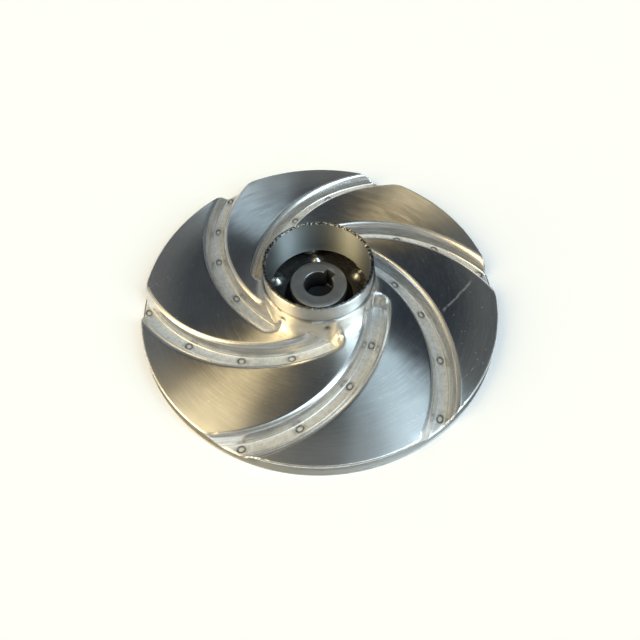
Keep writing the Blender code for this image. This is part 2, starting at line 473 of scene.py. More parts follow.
def shroud_plan():
    """Plan points and triangles of the shroud: rings, lines along the channels and loose points."""
    points = []
    edges = []

    def add_line(line, closed=False):
        start = len(points)
        points.extend(line)
        edges.extend((start + i, start + i + 1) for i in range(len(line) - 1))
        if closed:
            edges.append((start + len(line) - 1, start))

    add_line(ring_points(SHEET_EDGE, RIM_STEPS), True)
    for angle in RIM_ROLL_ROWS:
        radius = SHEET_EDGE - RIM_RUN + RIM_ROLL * sin(radians(angle))
        points.extend(ring_points(radius, RIM_STEPS))
    add_line(ring_points(COLLAR_RADIUS, NECK_STEPS), True)
    points.extend(neck_points())
    for line in channel_lines():
        add_line(line)
    points.extend(weld_points())
    points.extend(panel_points())
    verts, _, faces, _, _, _ = geometry.delaunay_2d_cdt(points, edges, [], 0, 0.00001)
    return verts, faces


def inside_ring(point, radius, sides):
    """Whether a plan point lies inside the regular polygon of that corner radius."""
    pitch = 2 * pi / sides
    turn = atan2(point.y, point.x) % pitch - pitch / 2
    return point.length * cos(turn) < radius * cos(pitch / 2)


# Modelling by hand

def start_clean():
    """Object mode with nothing selected."""
    if bpy.context.object and bpy.context.object.mode != "OBJECT":
        bpy.ops.object.mode_set(mode="OBJECT")
    bpy.ops.object.select_all(action="DESELECT")


def pick(piece):
    """Select one piece alone and make it active."""
    start_clean()
    piece.select_set(True)
    bpy.context.view_layer.objects.active = piece


def apply_modifier(piece, name, kind, **settings):
    """Add a modifier with its settings and apply it."""
    pick(piece)
    modifier = piece.modifiers.new(name, kind)
    for setting, value in settings.items():
        setattr(modifier, setting, value)
    bpy.ops.object.modifier_apply(modifier=name)


def smooth(piece, degrees):
    """Smooth shading, apart from edges sharper than an angle."""
    pick(piece)
    bpy.ops.object.shade_smooth_by_angle(angle=radians(degrees))


def turned_piece(name, profile, steps):
    """Extrude a closed profile of (radius, height) points, spin it round the axis and face it outwards."""
    start_clean()
    bpy.ops.mesh.primitive_plane_add(size=0.001)
    piece = bpy.context.object
    piece.name = name
    piece.data.name = name
    bpy.ops.object.mode_set(mode="EDIT")
    bpy.ops.mesh.select_mode(type="VERT")
    bpy.ops.mesh.select_all(action="SELECT")
    bpy.ops.mesh.merge(type="CENTER")
    bpy.ops.transform.translate(value=(profile[0][0], 0.0, profile[0][1]))
    for (radius, height), (next_radius, next_height) in zip(profile, profile[1:] + profile[:1]):
        step = (next_radius - radius, 0.0, next_height - height)
        bpy.ops.mesh.extrude_region_move(TRANSFORM_OT_translate={"value": step})
    bpy.ops.mesh.select_all(action="SELECT")
    bpy.ops.mesh.remove_doubles(threshold=MERGE)
    bpy.ops.mesh.spin(steps=steps, angle=2 * pi, center=(0, 0, 0), axis=(0, 0, 1))
    bpy.ops.mesh.select_all(action="SELECT")
    bpy.ops.mesh.remove_doubles(threshold=MERGE)
    bpy.ops.mesh.normals_make_consistent(inside=False)
    bpy.ops.object.mode_set(mode="OBJECT")
    return piece


def add_mask(piece, name, value_at):
    """A number on each point of a piece, for its finish to read."""
    mask = piece.data.attributes.new(name, "FLOAT", "POINT")
    for vertex, item in zip(piece.data.vertices, mask.data):
        item.value = value_at(vertex.co)


def dress(piece, finishes, slot, *nodes):
    """Give a piece its finishes, and let it stand for its solids and ride on the wheel."""
    for finish in finishes:
        piece.data.materials.append(finish)
    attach(piece, "root")
    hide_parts(*nodes)


# Pieces

def front_shroud():
    """The pressed sheet: panels, channels, weld dimples, fillet and collar, in one thickness."""
    sheet = pressed_sheet()
    draw_up_collar(sheet)
    press_collar_welds(sheet)
    apply_modifier(sheet, "thickness", "SOLIDIFY", thickness=SHEET, offset=-1.0, use_even_offset=False)
    thin_collar_edge(sheet)
    smooth(sheet, 40)
    add_mask(sheet, "weld", weld_tint)
    # the drawn and outer masks also place the painted sheen on the panels
    add_mask(sheet, "drawn", lambda co: smooth_step(*DRAWN_NECK, co.xy.length))
    add_mask(sheet, "outer", lambda co: smooth_step(*OUTER_SHEEN_BAND, co.xy.length))
    add_mask(sheet, "away", lambda co: channel_distance(co.xy))
    add_mask(sheet, "inside", inner_face_share)
    add_mask(sheet, "pressed", sheet_pressed_share)
    return sheet


def pressed_sheet():
    """The pressed top surface as an open mesh that faces up."""
    plan, faces = shroud_plan()
    kept = []
    for face in faces:
        middle = sum((plan[i] for i in face), Vector((0, 0))) / len(face)
        in_collar = inside_ring(middle, COLLAR_RADIUS, NECK_STEPS)
        if inside_ring(middle, SHEET_EDGE, RIM_STEPS) and not in_collar:
            kept.append(face)
    mesh = bpy.data.meshes.new("front_sheet")
    mesh.from_pydata([(point.x, point.y, shroud_height(point)) for point in plan], [], kept)
    sheet = bpy.data.objects.new("front_sheet", mesh)
    bpy.context.scene.collection.objects.link(sheet)

    pick(sheet)
    bpy.ops.object.mode_set(mode="EDIT")
    bpy.ops.mesh.select_mode(type="VERT")
    bpy.ops.mesh.select_all(action="SELECT")
    bpy.ops.mesh.delete_loose()
    bpy.ops.mesh.select_all(action="SELECT")
    bpy.ops.mesh.normals_make_consistent(inside=False)
    bpy.ops.object.mode_set(mode="OBJECT")
    if sum(face.normal.z * face.area for face in mesh.polygons) < 0:
        mesh.flip_normals()
    return sheet


def on_collar(radius):
    """Whether a radius lies on the collar's outer face, before the sheet has its thickness."""
    return radius < COLLAR_RADIUS + 5 * MERGE


def draw_up_collar(sheet):
    """Extrude the sheet's inner edge up to the collar's top in even rows."""
    mesh = sheet.data
    for vertex in mesh.vertices:
        vertex.select = on_collar(vertex.co.xy.length)
    for edge in mesh.edges:
        edge.select = all(mesh.vertices[i].select for i in edge.vertices)
    for face in mesh.polygons:
        face.select = False
    bpy.ops.object.mode_set(mode="EDIT")
    bpy.ops.mesh.select_mode(type="EDGE")
    for row in range(COLLAR_ROWS):
        bpy.ops.mesh.extrude_edges_move(TRANSFORM_OT_translate={"value": (0, 0, 0.001)})
    bpy.ops.object.mode_set(mode="OBJECT")
    chains = {}
    for vertex in mesh.vertices:
        if on_collar(vertex.co.xy.length):
            key = round(atan2(vertex.co.y, vertex.co.x) / (2 * pi) * NECK_STEPS) % NECK_STEPS
            chains.setdefault(key, []).append(vertex)
    for chain in chains.values():
        chain.sort(key=lambda vertex: vertex.co.z)
        base = chain[0].co.z
        for row, vertex in enumerate(chain):
            vertex.co.z = base + (COLLAR_TOP - base) * row / COLLAR_ROWS


def collar_weld_reach(co):
    """How far a point of the collar lies from its nearest weld's middle, where 1 is the dimple's edge."""
    turn = turn_from_nearest(co, FIRST_COLLAR_WELD, COLLAR_WELDS)
    return hypot(turn * COLLAR_RADIUS, co.z - COLLAR_WELD_HEIGHT) / COLLAR_WELD_RADIUS


def press_collar_welds(sheet):
    """Dent the collar at its small welds to the ring."""
    for vertex in sheet.data.vertices:
        radius = vertex.co.xy.length
        if on_collar(radius):
            dent = COLLAR_WELD_DEPTH * smooth_step(1.2, 0.3, collar_weld_reach(vertex.co))
            vertex.co.xy *= (radius - dent) / radius


def thin_collar_edge(sheet):
    """Lean the collar's outer edge in at its top, towards the ring."""
    for vertex in sheet.data.vertices:
        radius = vertex.co.xy.length
        if vertex.co.z > COLLAR_TOP - HAIR and radius > COLLAR_RADIUS - SHEET / 2:
            vertex.co.xy *= (COLLAR_RADIUS - COLLAR_EDGE_LEAN) / radius


def weld_tint(co):
    """The heat ring round a weld, 1 on the dimple's edge, and the tint of the seam at the collar's top."""
    if not on_collar(co.xy.length):
        return exp(-((weld_reach(co.xy) - 0.90) / 0.3) ** 2)
    if co.z <= CHANNEL_TOP:
        return 0.0
    seam = SEAM_TINT if co.z > COLLAR_TOP - HAIR else 0.0
    return max(exp(-(collar_weld_reach(co) / 0.9) ** 2), seam)


def inner_face_share(co):
    """1 on the sheet's lower face near the eye, 0 elsewhere."""
    radius = co.xy.length
    if COLLAR_RADIUS < radius < INNER_FACE_END and co.z < shroud_height(co.xy) - SHEET / 2:
        return 1.0
    return 0.0


def sheet_pressed_share(co):
    """How deep the sheet is pressed at a point, and 0 on the collar."""
    if co.xy.length <= COLLAR_RADIUS + MERGE:
        return 0.0
    return pressed_share(channel_distance(co.xy))


def split_finishes(sheet):
    """The faces of the channels and of the sheared rim take the second material."""
    for face in sheet.data.polygons:
        middle = face.center
        radius = middle.xy.length
        upright = radius < COLLAR_RADIUS + COLLAR_BAND and abs(face.normal.z) < 0.7
        in_channel = pressed_share(channel_distance(middle.xy)) > 0.01 and not upright
        face.material_index = 1 if in_channel or radius > SHEET_EDGE - RIM_RUN else 0


def suction_ring():
    """The ring in the collar, whose sawn upper edge is rough and burred."""
    inner = RING_OUTER - RING_WALL
    outer = RING_OUTER + RING_SWELL
    bottom = RING_BOTTOM - RING_REACH
    rough = RING_TOP - ROUGH_BAND
    outside = [(outer, z) for z in spread(bottom, rough, 7) + spread(rough, RING_TOP, 11)]
    top = [(radius, RING_TOP) for radius in spread(outer, inner, 7)]
    heights = spread(bottom + LIP_HEIGHT, rough, 7) + spread(rough, RING_TOP, 11)
    inside = [(inner, z) for z in reversed(heights)]
    lip = [(inner - inwards, bottom + upwards) for inwards, upwards in RING_LIP]
    ring = turned_piece("suction_ring", outside + top + [(inner, RING_TOP)] + inside + lip, RING_STEPS)
    add_mask(ring, "burr", lambda co: burr_share(co, inner))
    add_mask(ring, "inner_wall", lambda co: smooth_step(inner + 0.0003, inner + 0.0001, co.xy.length))
    roughen_edge(ring, inner)
    smooth(ring, 50)
    return ring


def burr_share(co, inner):
    """How burred a point of the ring's edge is; on the near side only its inner half is."""
    far = smooth_step(-0.6, 0.3, sin(atan2(co.y, co.x)))
    outer_half = smooth_step(inner + 0.0006, inner + 0.0010, co.xy.length)
    return smooth_step(RING_TOP - 0.0003, RING_TOP - 0.0001, co.z) * (1 - outer_half * (1 - far))


def roughen_edge(ring, inner):
    """Nick, round and burr the ring's upper edge, more on the far side than on the near one."""
    middle = (inner + RING_OUTER) / 2
    for vertex in ring.data.vertices:
        co = vertex.co
        near_top = smooth_step(RING_TOP - BURR_BAND, RING_TOP, co.z)
        if near_top <= 0:
            continue
        angle = atan2(co.y, co.x)
        around = Vector((cos(angle), sin(angle), 0))
        rough = 0.30 + 0.70 * smooth_step(-0.4, 0.7, sin(angle))
        coarse = noise.noise(around * 9.0 + Vector((3, 1, 7)))
        fine = noise.noise(co * 2600)
        nick = max(noise.noise(around * 34.0) - 0.25, 0.0)
        side = (co.xy.length - middle) / (RING_WALL / 2)
        rounded = -EDGE_ROUNDING * side * side
        uneven = rough * (EDGE_WAVE * coarse + EDGE_GRAIN * fine - EDGE_NICK * nick)
        co.z += near_top * (uneven + rounded - EDGE_DROP)
        push = near_top * rough * EDGE_PUSH * noise.noise(co * 1900 + Vector((5, 5, 5)))
        if side < 0:
            burr = max(noise.noise(around * 22.0 + Vector((9, 0, 2))), 0.0)
            push -= near_top * rough * EDGE_BURR * burr
        co.xy *= (co.xy.length + push) / co.xy.length
        co.z = min(co.z, RING_TOP)


def mark_reach(point):
    """How far a plan point lies from the nearest raised mark's middle, where 1 is the mark's edge."""
    turn = turn_from_nearest(point, FIRST_MARK, VANES)
    middle = polar(MARK_FROM_AXIS, atan2(point.y, point.x) - turn)
    return (point - middle).length / MARK_RADIUS


def back_plate():
    """The rear disc, its sheared rim slightly rounded, with its raised marks."""
    hole = SPIGOT_RADIUS + FIT
    flat_end = PLATE_RADIUS - PLATE_EDGE
    rim = []
    for angle in (0, 30, 60, 90):
        turn = radians(angle)
        rim.append((PLATE_RADIUS - PLATE_EDGE * (1 - sin(turn)), PLATE_EDGE * (1 - cos(turn))))
    under = [(radius, 0.0) for radius in spread(hole, flat_end, 12)]
    over = [(radius, PLATE_THICKNESS - height) for radius, height in reversed(rim)]
    rings = spread(hole, FLANGE_RADIUS, 3) + spread(FLANGE_RADIUS, MARKS_END, 32)
    rings += spread(MARKS_END, flat_end, 10)
    back = [(radius, PLATE_THICKNESS) for radius in reversed(rings)]
    plate = turned_piece("rear_plate", under + rim + over + back, RIM_STEPS)
    for vertex in plate.data.vertices:
        if vertex.co.z > PLATE_THICKNESS - MERGE:
            vertex.co.z += MARK_RISE * smooth_step(1.0, 0.0, mark_reach(vertex.co.xy))
    smooth(plate, 35)

    def on_top(co):
        return co.z > PLATE_THICKNESS / 2

    add_mask(plate, "from_axis", lambda co: co.xy.length if on_top(co) else 0.04)
    add_mask(plate, "mark", lambda co: smooth_step(0.9, 0.2, mark_reach(co.xy)) if on_top(co) else 0.0)
    return plate


def keyed_hub():
    """The turned hub with its chamfers, bore and broached keyway."""
    base = PLATE_THICKNESS + FIT
    flange = base + FLANGE_THICKNESS
    soft = HUB_CHAMFER
    bulge = soft * 0.3
    profile = [
        (BORE_RADIUS + REAR_BORE_CHAMFER, 0.0), (SPIGOT_RADIUS - REAR_CHAMFER, 0.0),
        (SPIGOT_RADIUS, REAR_CHAMFER), (SPIGOT_RADIUS, base),
        (FLANGE_RADIUS - REAR_CHAMFER, base), (FLANGE_RADIUS, base + REAR_CHAMFER),
        (FLANGE_RADIUS, flange - FLANGE_CHAMFER), (FLANGE_RADIUS - FLANGE_CHAMFER, flange),
        (HUB_RADIUS + HUB_FOOT, flange), (HUB_RADIUS, flange + HUB_FOOT),
        (HUB_RADIUS, HUB_FACE - soft), (HUB_RADIUS - bulge, HUB_FACE - bulge), (HUB_RADIUS - soft, HUB_FACE),
        (HUB_RADIUS - FACE_EDGES[0], HUB_FACE), (BORE_RADIUS + FACE_EDGES[1], HUB_FACE),
        (BORE_RADIUS + BORE_CHAMFER, HUB_FACE), (BORE_RADIUS, HUB_FACE - BORE_CHAMFER),
        (BORE_RADIUS, REAR_BORE_CHAMFER),
    ]
    hub = turned_piece("keyed_hub", profile, HUB_STEPS)

    start_clean()
    bpy.ops.mesh.primitive_cube_add(size=1.0)
    cutter = bpy.context.object
    for vertex in cutter.data.vertices:
        out, across, up = vertex.co
        level = (up + 0.5) * CUTTER_HEIGHT + CUTTER_BOTTOM
        vertex.co = Vector(((out + 0.5) * KEYWAY_REACH, across * KEYWAY_WIDTH, level))
    cutter.data.transform(Matrix.Rotation(KEYWAY_ANGLE, 4, "Z"))
    apply_modifier(hub, "keyway", "BOOLEAN", operation="DIFFERENCE", object=cutter, solver="EXACT")
    bpy.data.objects.remove(cutter, do_unlink=True)
    apply_modifier(hub, "broken_edges", "BEVEL", width=BROKEN_EDGE, segments=2, limit_method="ANGLE",
                   angle_limit=radians(50))
    smooth(hub, 35)
    # the flange mask places painted shade on the hub below its face
    add_mask(hub, "flange", lambda co: smooth_step(*SHADE_BELOW_FACE, HUB_FACE - co.z))
    return hub


# Shader nodes

def feed(tree, socket, value):
    """Set a socket's own value, or link another node's output to it."""
    if isinstance(value, bpy.types.NodeSocket):
        tree.links.new(value, socket)
    else:
        socket.default_value = value


def add_node(tree, kind, inputs=None, **settings):
    """A shader node with its settings, whose inputs are values or other nodes' outputs."""
    node = tree.nodes.new("ShaderNode" + kind)
    for setting, value in settings.items():
        setattr(node, setting, value)
    for name, value in (inputs or {}).items():
        feed(tree, node.inputs[name], value)
    return node


def maths(tree, operation, *values):
    """The result of a Math node."""
    return add_node(tree, "Math", dict(enumerate(values)), operation=operation).outputs[0]


def times(tree, one, other):
    """The product of two values."""
    return maths(tree, "MULTIPLY", one, other)


def summed(tree, start, *steps):
    """A value with shares of masks added to it, each given as (mask, share)."""
    for mask, share in steps:
        start = maths(tree, "MULTIPLY_ADD", mask, share, start)
    return start


def vector_maths(tree, operation, *values, **scale):
    """The result of a Vector Math node: a number for a length or a dot product, else a vector."""
    inputs = {**dict(enumerate(values)), **scale}
    node = add_node(tree, "VectorMath", inputs, operation=operation)
    return node.outputs["Value" if operation in ("LENGTH", "DOT_PRODUCT") else "Vector"]


def split_axes(tree, vector):
    """The X, Y and Z of a vector."""
    return add_node(tree, "SeparateXYZ", {"Vector": vector}).outputs


def joined_axes(tree, **axes):
    """A vector from its X, Y and Z."""
    return add_node(tree, "CombineXYZ", axes).outputs[0]


def turned_vector(tree, vector, angle):
    """A vector turned round Z."""
    inputs = {"Vector": vector, "Angle": angle}
    return add_node(tree, "VectorRotate", inputs, rotation_type="Z_AXIS").outputs[0]


def ranged(tree, value, low, high, to_low=0.0, to_high=1.0):
    """A value carried from one range to another, smooth at both ends."""
    node = add_node(tree, "MapRange", {
        "Value": value, "From Min": low, "From Max": high, "To Min": to_low, "To Max": to_high,
    }, interpolation_type="SMOOTHSTEP")
    return node.outputs["Result"]


def mixed(tree, factor, one, other):
    """Two colours, outputs or plain ones, mixed by a factor."""
    one, other = (
        colour if isinstance(colour, bpy.types.NodeSocket) else (*colour, 1.0) for colour in (one, other)
    )
    node = add_node(tree, "Mix", {"Factor": factor, "A": one, "B": other}, data_type="RGBA")
    return node.outputs["Result"]


def layered(tree, colour, *layers):
    """A colour with layers over it, each given as (mask, strength, colour)."""
    for mask, strength, over in layers:
        colour = mixed(tree, times(tree, mask, strength), colour, over)
    return colour


def noise_at(tree, vector, scale, detail=2.0, rough=0.5):
    """Noise on a vector, from 0 to 1."""
    inputs = {"Vector": vector, "Scale": scale, "Detail": detail, "Roughness": rough}
    return add_node(tree, "TexNoise", inputs).outputs["Fac"]


def object_place(tree):
    """A point's place on its piece."""
    return add_node(tree, "TexCoord").outputs["Object"]


def masks(tree, *names):
    """The masks of these names that the mesh carries."""
    return [add_node(tree, "Attribute", attribute_name=name).outputs["Fac"] for name in names]


# Effects that several finishes share

def new_group(name, inputs, outputs):
    """An empty shader group with float inputs and outputs; gives its tree, its inputs and its outputs."""
    tree = bpy.data.node_groups.new(name, "ShaderNodeTree")
    for label, value in inputs.items():
        socket = tree.interface.new_socket(label, in_out="INPUT", socket_type="NodeSocketFloat")
        socket.default_value = value
    for label in outputs:
        tree.interface.new_socket(label, in_out="OUTPUT", socket_type="NodeSocketFloat")
    return tree, tree.nodes.new("NodeGroupInput").outputs, tree.nodes.new("NodeGroupOutput").inputs


def use_group(tree, group, **inputs):
    """Place a shared group in a material with its own values."""
    node = tree.nodes.new("ShaderNodeGroup")
    node.node_tree = group
    for label, value in inputs.items():
        feed(tree, node.inputs[label.replace("_", " ")], value)
    return node.outputs


def turning_lines():
    """Fine brush lines round the wheel's axis: thin across, long around."""
    tree, given, out = new_group("turning_lines", {"Fineness": 2600.0, "Length": 2.2}, ("Lines", "Broad"))
    axes = split_axes(tree, object_place(tree))
    flat = joined_axes(tree, X=axes["X"], Y=axes["Y"])
    sides = split_axes(tree, vector_maths(tree, "NORMALIZE", flat))
    spiral = summed(tree, vector_maths(tree, "LENGTH", flat), (axes["Z"], -0.8))
    for label, coarser in (("Lines", 1.0), ("Broad", 0.22)):
        across = times(tree, spiral, times(tree, given["Fineness"], coarser))
        around = [times(tree, sides[axis], given["Length"]) for axis in ("X", "Y")]
        vector = joined_axes(tree, X=across, Y=around[0], Z=around[1])
        feed(tree, out[label], noise_at(tree, vector, 1.0, 3.0, 0.65))
    return tree


def stray_scratches():
    """Single straight scratches at one slant, in patches."""
    tree, given, out = new_group("stray_scratches", {"Slant": 0.6, "Patch": 40.0}, ("Scratches",))
    turned = turned_vector(tree, object_place(tree), given["Slant"])
    thin = vector_maths(tree, "MULTIPLY", turned, (70.0, 3200.0, 300.0))
    lines = ranged(tree, noise_at(tree, thin, 1.0, 1.0), 0.64, 0.74)
    patch_vector = vector_maths(tree, "SCALE", turned, Scale=given["Patch"])
    patches = ranged(tree, noise_at(tree, patch_vector, 1.0, 1.0), 0.48, 0.62)
    feed(tree, out["Scratches"], times(tree, lines, patches))
    return tree


def drawing_lines():
    """Fine lines along the channels, from the distance to a channel's middle."""
    tree, given, out = new_group("drawing_lines", {"Away": 0.0, "Fineness": 2600.0}, ("Lines",))
    slow = vector_maths(tree, "MULTIPLY", object_place(tree), (90.0, 90.0, 0.0))
    across = joined_axes(tree, Z=times(tree, given["Away"], given["Fineness"]))
    feed(tree, out["Lines"], noise_at(tree, vector_maths(tree, "ADD", slow, across), 1.0, 3.0, 0.6))
    return tree


def specks_and_stains():
    """Dust specks, small pits and cloudy stains."""
    sizes = {"Speck size": 900.0, "Stain size": 55.0}
    tree, given, out = new_group("specks_and_stains", sizes, ("Specks", "Stains"))
    place = object_place(tree)
    small = vector_maths(tree, "SCALE", place, Scale=given["Speck size"])
    feed(tree, out["Specks"], ranged(tree, noise_at(tree, small, 1.0, 2.0, 0.6), 0.67, 0.74))
    large = vector_maths(tree, "SCALE", place, Scale=given["Stain size"])
    feed(tree, out["Stains"], noise_at(tree, large, 1.0, 4.0, 0.6))
    return tree


# Finishes

def new_metal(name):
    """A metal's material and its tree."""
    material = bpy.data.materials.new(name)
    material.use_nodes = True
    return material, material.node_tree


def turn_with_wheel(tree, anisotropy):
    """Run a metal's brushing round the wheel's axis, so that its gloss spreads across the brush lines."""
    shader = tree.nodes["Principled BSDF"].inputs
    tangent = add_node(tree, "Tangent", direction_type="RADIAL", axis="Z")
    feed(tree, shader["Tangent"], tangent.outputs[0])
    shader["Anisotropic"].default_value = anisotropy
    shader["Anisotropic Rotation"].default_value = 0.25


def finished(material, steel, rough, metallic, *bumps):
    """Feed a metal's shader, with bumps of (height, strength, distance) chained into its normal."""
    tree = material.node_tree
    normal = {}
    for height, strength, distance in bumps:
        inputs = {"Height": height, "Strength": strength, "Distance": distance, **normal}
        normal = {"Normal": add_node(tree, "Bump", inputs).outputs["Normal"]}
    looks = {"Base Color": steel, "Roughness": rough, "Metallic": metallic, **normal}
    for name, value in looks.items():
        feed(tree, tree.nodes["Principled BSDF"].inputs[name], value)
    return material


def long_scratch(tree):
    """The one long, pale scratch on the right-hand panel."""
    place = object_place(tree)
    offset = vector_maths(tree, "SUBTRACT", place, SCRATCH_MIDDLE)
    axes = split_axes(tree, turned_vector(tree, offset, -SCRATCH_ANGLE))
    wander = times(tree, maths(tree, "SUBTRACT", noise_at(tree, place, 220.0), 0.5), 0.0016)
    across = maths(tree, "ABSOLUTE", maths(tree, "ADD", axes["Y"], wander))
    along = maths(tree, "ABSOLUTE", axes["X"])
    thin = ranged(tree, across, 0.0007, 0.0001)
    line = times(tree, thin, ranged(tree, along, SCRATCH_REACH, 0.7 * SCRATCH_REACH))
    return times(tree, line, ranged(tree, noise_at(tree, place, 700.0), 0.25, 0.55))


def brushed_panel(lines, scratches, specks):
    """Brushed panels, drawn smooth round the neck, with a painted sheen there and on the outer panels, and
    with scratches, dust and burnt welds on the collar.
    """
    material, tree = new_metal("brushed_panel")
    turn_with_wheel(tree, 1.0)
    brush = use_group(tree, lines, Fineness=1700.0, Length=5.0)["Lines"]
    stains = use_group(tree, specks)["Stains"]
    dust = use_group(tree, specks, Speck_size=1300.0, Stain_size=200.0)["Specks"]
    scratched = maths(tree, "MAXIMUM", use_group(tree, scratches, Slant=-0.6)["Scratches"],
                      use_group(tree, scratches, Slant=0.75, Patch=33.0)["Scratches"])
    drawn, outer, weld = masks(tree, "drawn", "outer", "weld")
    dust = times(tree, dust, maths(tree, "SUBTRACT", 1.0, drawn))
    pale = maths(tree, "MAXIMUM", dust, times(tree, long_scratch(tree), 0.6))
    steel = layered(
        tree, mixed(tree, ranged(tree, stains, 0.35, 0.65), *PANEL_STEEL),
        (ranged(tree, brush, 0.42, 0.68), 0.28, BRUSH_LINE),
        (scratched, 0.22, SCRATCH),
        # painted sheen: lighter steel on the smoother drawn zone round the neck
        (drawn, 0.85, DRAWN_STEEL_SHEEN),
        (weld, 1.0, BURNT_SHEET),
        # painted sheen: the outer panels are lighter towards the rim
        (outer, 0.4, OUTER_PANEL_SHEEN),
        (pale, 1.0, PALE_DUST),
    )
    rough = summed(tree, ranged(tree, brush, 0.3, 0.7, 0.33, 0.43), (scratched, 0.12), (drawn, -0.06))
    metallic = summed(tree, 1.0, (pale, -0.35), (outer, -0.10))
    brushed = summed(tree, 0.08, (drawn, -0.06))
    wave = noise_at(tree, object_place(tree), 48.0, 1.0)
    return finished(material, steel, rough, metallic, (brush, brushed, 0.00003), (scratched, 0.3, 0.00002),
                    (wave, 0.8, 0.0006))


def pressed_channel(drawing, scratches, specks):
    """Bright channels: mottled floors with burnt welds, polished feet with a painted highlight along them,
    and walls streaked by the drawing.
    """
    material, tree = new_metal("pressed_channel")
    place = object_place(tree)
    dirt = use_group(tree, specks, Speck_size=1400.0, Stain_size=110.0)
    scratched = use_group(tree, scratches, Slant=0.3, Patch=90.0)["Scratches"]
    away, weld, inside, pressed = masks(tree, "away", "weld", "inside", "pressed")
    drawn_out = use_group(tree, drawing, Away=away)["Lines"]
    floor = ranged(tree, pressed, 0.93, 1.0)
    foot = maths(tree, "SUBTRACT", ranged(tree, pressed, 0.78, 0.90), ranged(tree, pressed, 0.97, 1.0))
    on_wall = ranged(tree, pressed, 0.99, 0.90)
    streaks = times(tree, ranged(tree, drawn_out, 0.62, 0.40), on_wall)
    grain = noise_at(tree, place, 760.0, 3.0, 0.65)
    charred = ranged(tree, noise_at(tree, place, 900.0), 0.3, 0.5, 0.6, 1.0)
    steel = layered(
        tree, mixed(tree, floor, CHANNEL_WALL, CHANNEL_FLOOR),
        # painted highlight: the feet are lighter than the walls
        (foot, 0.9, CHANNEL_FOOT_HIGHLIGHT),
        (times(tree, ranged(tree, grain, 0.44, 0.60), floor), 0.35, FLOOR_MOTTLE),
        (streaks, 0.5, DRAWING_STREAK),
        (ranged(tree, dirt["Stains"], 0.5, 0.7), 0.3, CHANNEL_STAIN),
        (dirt["Specks"], 0.5, CHANNEL_SPECK),
        (weld, charred, BURNT_WELD),
    )
    polished = maths(tree, "MAXIMUM", inside, foot)
    rough = summed(tree, 0.26, (floor, 0.14), (weld, 0.1), (polished, -0.13))
    metallic = maths(tree, "MAXIMUM", summed(tree, 0.80, (floor, -0.32)), inside)
    return finished(material, steel, rough, metallic, (dirt["Stains"], 0.03, 0.0001),
                    (scratched, 0.2, 0.00002), (streaks, 0.15, 0.00003))


def turned_ring(lines, specks):
    """Turned ring with a duller inner wall and a dark burr on its upper edge, with painted glints on its
    nicked spots, more on the far side.
    """
    material, tree = new_metal("turned_ring")
    turn_with_wheel(tree, 0.95)
    brush = use_group(tree, lines, Fineness=3600.0, Length=3.0)
    stains = use_group(tree, specks, Speck_size=1500.0, Stain_size=140.0)["Stains"]
    burr, inner_wall = masks(tree, "burr", "inner_wall")
    place = object_place(tree)
    # painted glints: bright nicked spots on the burr, more on the far side, which also bump the edge
    far_side = ranged(tree, split_axes(tree, place)["Y"], -0.006, 0.008, 0.45, 1.0)
    nicks_and_glints = times(tree, far_side, ranged(tree, noise_at(tree, place, 1300.0, 2.0, 0.7), 0.50, 0.58))
    steel = layered(
        tree, mixed(tree, ranged(tree, stains, 0.35, 0.65), *RING_STEEL),
        (inner_wall, 0.85, DULL_RING_WALL),
        (burr, 1.0, mixed(tree, nicks_and_glints, DARK_BURR, BURR_GLINT)),
    )
    rough = ranged(tree, brush["Broad"], 0.3, 0.7, 0.38, 0.46)
    rough = summed(tree, rough, (burr, 0.2), (inner_wall, 0.32))
    return finished(material, steel, rough, 1.0, (brush["Lines"], 0.08, 0.00003),
                    (nicks_and_glints, times(tree, burr, 0.3), 0.0001))


def rear_sheet(lines, specks):
    """Back plate: brushed, with painted shade below the eye apart from its raised marks, and duller at the
    outlets.
    """
    material, tree = new_metal("rear_sheet")
    from_axis, mark = masks(tree, "from_axis", "mark")
    outlet = ranged(tree, from_axis, 0.056, 0.061)
    # painted shade: the plate darkens below the eye, towards the axis, apart from the raised marks
    shade_below_eye = ranged(tree, from_axis, 0.026, 0.020)
    brush = use_group(tree, lines, Fineness=2200.0, Length=4.0)
    dirt = use_group(tree, specks)
    steel = layered(
        tree, mixed(tree, ranged(tree, dirt["Stains"], 0.35, 0.65), *PLATE_STEEL),
        (outlet, 1.0, OUTLET_PLATE),
        (shade_below_eye, 1.0, SHADED_PLATE),
        (mark, 1.0, RAISED_MARK),
        (dirt["Specks"], 0.6, PLATE_SPECK),
    )
    shaded = times(tree, maths(tree, "SUBTRACT", shade_below_eye, mark), 0.35)
    dull = maths(tree, "MAXIMUM", shaded, times(tree, outlet, 0.3))
    metallic = maths(tree, "SUBTRACT", 1.0, dull)
    rough = summed(tree, ranged(tree, brush["Broad"], 0.3, 0.7, 0.26, 0.34), (shade_below_eye, -0.05))
    return finished(material, steel, rough, metallic, (brush["Lines"], 0.05, 0.00002),
                    (dirt["Specks"], 0.3, 0.00003))


def dull_hub(lines, specks):
    """Dull turned steel, with painted shade, almost black, on the flange and the hub's side below its face.
    """
    material, tree = new_metal("dull_hub")
    brush = use_group(tree, lines, Fineness=3000.0, Length=4.0)["Lines"]
    dirt = use_group(tree, specks, Speck_size=2200.0, Stain_size=200.0)
    steel = layered(
        tree, mixed(tree, ranged(tree, dirt["Stains"], 0.3, 0.7), *HUB_STEEL),
        (dirt["Specks"], 0.5, HUB_SPECK),
        # painted shade: almost black below the hub's face
        (*masks(tree, "flange"), 1.0, FLANGE_SHADE),
    )
    rough = ranged(tree, brush, 0.3, 0.7, 0.42, 0.56)
    return finished(material, steel, rough, 1.0, (brush, 0.2, 0.00003), (dirt["Stains"], 0.2, 0.0001))


# Studio

